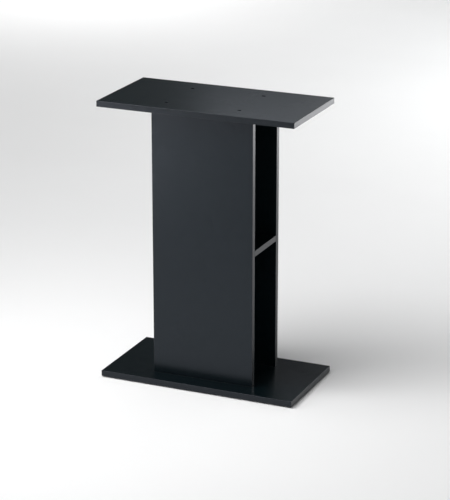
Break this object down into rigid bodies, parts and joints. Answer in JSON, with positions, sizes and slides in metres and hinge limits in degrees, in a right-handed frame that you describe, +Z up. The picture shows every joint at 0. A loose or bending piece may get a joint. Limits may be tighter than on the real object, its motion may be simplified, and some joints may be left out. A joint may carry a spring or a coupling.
{
  "type": "aquarium stand",
  "caption": "Open pedestal stand for a small aquarium: rectangular top and base boards joined by upright front and back panels, with a loose shelf between them.",
  "frame": {"origin": "centre of the footprint, on the floor plane under the glides", "axes": "+X along the stand's width, +Y towards its back, +Z up towards the tank seat"},
  "size_m": [0.525, 0.265, 0.73],
  "materials": {
    "melamine_board": "satin black melamine facing on chipboard",
    "edge_band": "satin black ABS edge band",
    "screw_steel": "black zinc plated",
    "dowel_beech": "raw beech",
    "support_steel": "nickel plated",
    "glide_plastic": "moulded polyethylene",
    "nail_steel": "bright steel"
  },
  "bodies": {
    "root": {"top_board": "melamine_board", "base_board": "melamine_board", "front_panel": "melamine_board", "back_panel": "melamine_board", "top_band_front": "edge_band", "top_band_back": "edge_band", "top_band_left": "edge_band", "top_band_right": "edge_band", "base_band_front": "edge_band", "base_band_back": "edge_band", "base_band_left": "edge_band", "base_band_right": "edge_band", "front_panel_band_left": "edge_band", "front_panel_band_right": "edge_band", "back_panel_band_left": "edge_band", "back_panel_band_right": "edge_band", "top_screws": "screw_steel", "base_screws": "screw_steel", "top_dowels": "dowel_beech", "base_dowels": "dowel_beech", "shelf_pins": "support_steel", "glides": "glide_plastic", "glide_nails": "nail_steel"},
    "shelf": {"shelf": "melamine_board", "shelf_band_left": "edge_band", "shelf_band_right": "edge_band"}
  },
  "joints": [
    {"name": "shelf_slide", "type": "slide", "parent": "root", "child": "shelf", "axis": [1, 0, 0], "range_m": [-0.28, 0.28]}
  ]
}
